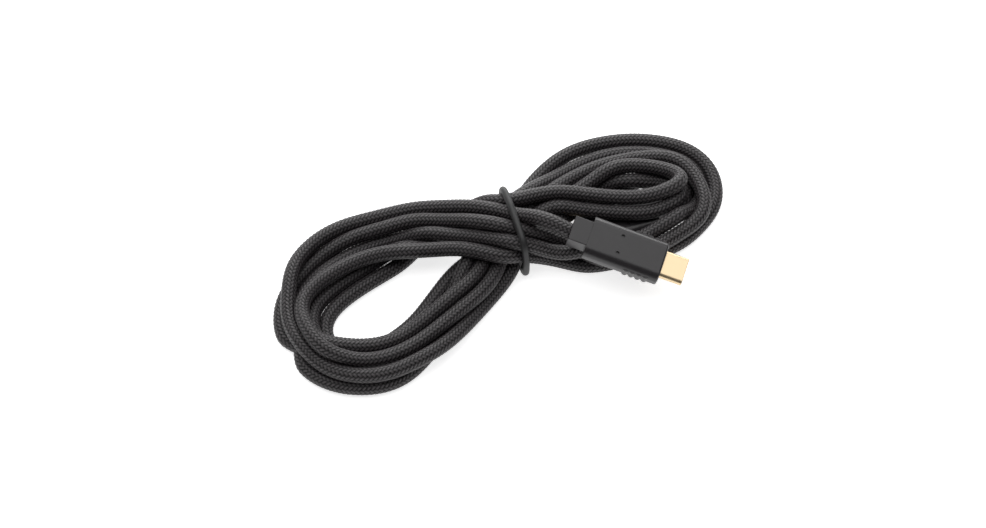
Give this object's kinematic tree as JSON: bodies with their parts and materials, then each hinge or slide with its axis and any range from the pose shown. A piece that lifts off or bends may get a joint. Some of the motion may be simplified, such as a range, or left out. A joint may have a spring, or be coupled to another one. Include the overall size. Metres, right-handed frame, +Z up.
{
  "type": "charging cable",
  "caption": "Black braided charging cable with a USB-C plug at each end, wound into a loose figure-of-eight hank and tied at its waist.",
  "frame": {"origin": "on the table, under the middle of the box round the whole object", "axes": "+Z up from the table; +X along the hank, from its open lobe to the lobe that carries the near plug; +Y away from a user who faces it"},
  "size_m": [0.1278, 0.0848, 0.02],
  "materials": {
    "cord_braid": "tight black nylon braid over a PVC jacket, slight sheen",
    "tie_elastic": "round black elastic, satin",
    "plug_plastic": "fine-grained black moulding",
    "insulator_plastic": "black glass-filled insulator",
    "gold_shell": "gold-coloured plating, satin",
    "gold_contact": "gold-flashed copper alloy",
    "spring_steel": "bare stainless strip",
    "tinned_steel": "dull tin plating",
    "board_laminate": "green solder mask on glass laminate",
    "chip_epoxy": "black moulding compound",
    "potting_plastic": "natural polyethylene",
    "red_insulation": "red wire insulation",
    "black_insulation": "black wire insulation",
    "white_insulation": "white wire insulation"
  },
  "bodies": {
    "root": {"contact_housing_far": "insulator_plastic", "contact_housing_near": "insulator_plastic", "cord_end_far": "cord_braid", "cord_end_near": "cord_braid", "cord_hank": "cord_braid", "cord_tail": "cord_braid", "cord_tie": "tie_elastic", "crimp_ferrule_far": "tinned_steel", "crimp_ferrule_near": "tinned_steel", "ground_wire_far": "black_insulation", "ground_wire_near": "black_insulation", "housing_far": "plug_plastic", "housing_near": "plug_plastic", "inner_mould_far": "potting_plastic", "inner_mould_near": "potting_plastic", "latch_plate_far": "spring_steel", "latch_plate_near": "spring_steel", "lower_contacts_far": "gold_contact", "lower_contacts_near": "gold_contact", "lower_ground_spring_far": "spring_steel", "lower_ground_spring_near": "spring_steel", "lower_shield_can_far": "tinned_steel", "lower_shield_can_near": "tinned_steel", "marker_chip_near": "chip_epoxy", "paddle_board_far": "board_laminate", "paddle_board_near": "board_laminate", "plug_shell_far": "gold_shell", "plug_shell_near": "gold_shell", "power_wire_far": "red_insulation", "power_wire_near": "red_insulation", "signal_wires_far": "white_insulation", "signal_wires_near": "white_insulation", "strain_relief_far": "plug_plastic", "strain_relief_near": "plug_plastic", "upper_contacts_far": "gold_contact", "upper_contacts_near": "gold_contact", "upper_ground_spring_far": "spring_steel", "upper_ground_spring_near": "spring_steel", "upper_shield_can_far": "tinned_steel", "upper_shield_can_near": "tinned_steel"}
  },
  "joints": []
}
